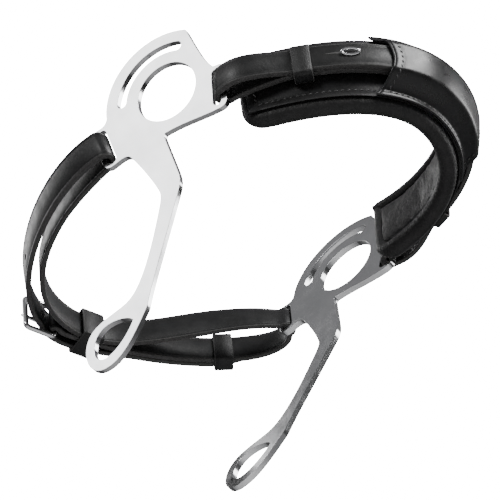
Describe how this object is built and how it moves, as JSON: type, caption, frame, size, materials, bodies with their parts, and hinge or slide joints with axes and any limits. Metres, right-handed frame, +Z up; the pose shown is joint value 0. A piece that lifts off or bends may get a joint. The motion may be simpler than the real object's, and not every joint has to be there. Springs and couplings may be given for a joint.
{
  "type": "bitless hackamore",
  "caption": "Bitless hackamore: steel lever shanks with ring holes, rein loops and strap slots, joined by a padded leather noseband and a buckled curb strap.",
  "frame": {"origin": "midway between the centres of the outer faces of the two ring holes", "axes": "+Z up the horse's face, -Y forward to the noseband, +Y back to the curb strap, -X to the left shank"},
  "size_m": [0.1669, 0.2512, 0.1617],
  "materials": {
    "polished_steel": "polished",
    "black_leather": "satin",
    "cover_leather": "gloss",
    "lining_leather": "satin",
    "foam": "matt"
  },
  "bodies": {
    "noseband": {"noseband_shell": "black_leather", "noseband_foam": "foam", "noseband_lining": "lining_leather", "edge_roll": "lining_leather", "nose_cover": "cover_leather", "billet_left": "black_leather", "billet_right": "black_leather", "billet_keeper_left": "black_leather", "billet_keeper_right": "black_leather", "hook_stud_left": "polished_steel", "hook_stud_right": "polished_steel"},
    "left_shank": {"shank_left": "polished_steel"},
    "right_shank": {"shank_right": "polished_steel"},
    "curb": {"curb_strap": "black_leather", "curb_keeper_fixed": "black_leather"},
    "running_keeper": {"curb_keeper_running": "black_leather"},
    "buckle": {"buckle_frame": "polished_steel"},
    "tongue": {"buckle_tongue": "polished_steel"}
  },
  "joints": [
    {"name": "left_shank_swing", "type": "hinge", "parent": "noseband", "child": "left_shank", "pos_m": [-0.06979, -0.02886, -0.01208], "axis": [0, 0, 1], "range_deg": [-11, 11]},
    {"name": "right_shank_swing", "type": "hinge", "parent": "noseband", "child": "right_shank", "pos_m": [0.06979, -0.02886, -0.01208], "axis": [0, 0, 1], "range_deg": [-11, 11]},
    {"name": "curb_swing", "type": "hinge", "parent": "left_shank", "child": "curb", "pos_m": [-0.07452, 0.04057, -0.01208], "axis": [0, 0, 1], "range_deg": [-10.35, 10.35]},
    {"name": "running_keeper_slide", "type": "slide", "parent": "curb", "child": "running_keeper", "axis": [-0.6204, 0.7843, 0], "range_m": [-0.005, 0.005]},
    {"name": "buckle_rock", "type": "hinge", "parent": "curb", "child": "buckle", "pos_m": [-0.001, 0.128, -0.012], "axis": [0, 0, -1], "range_deg": [0, 12]},
    {"name": "tongue_lift", "type": "hinge", "parent": "buckle", "child": "tongue", "pos_m": [-0.001, 0.128, -0.012], "axis": [0, 0, -1], "range_deg": [0, 20]}
  ],
  "couplings": [
    {"joint": "right_shank_swing", "follows": "left_shank_swing", "ratio": 1},
    {"joint": "curb_swing", "follows": "left_shank_swing", "ratio": -0.9365}
  ]
}
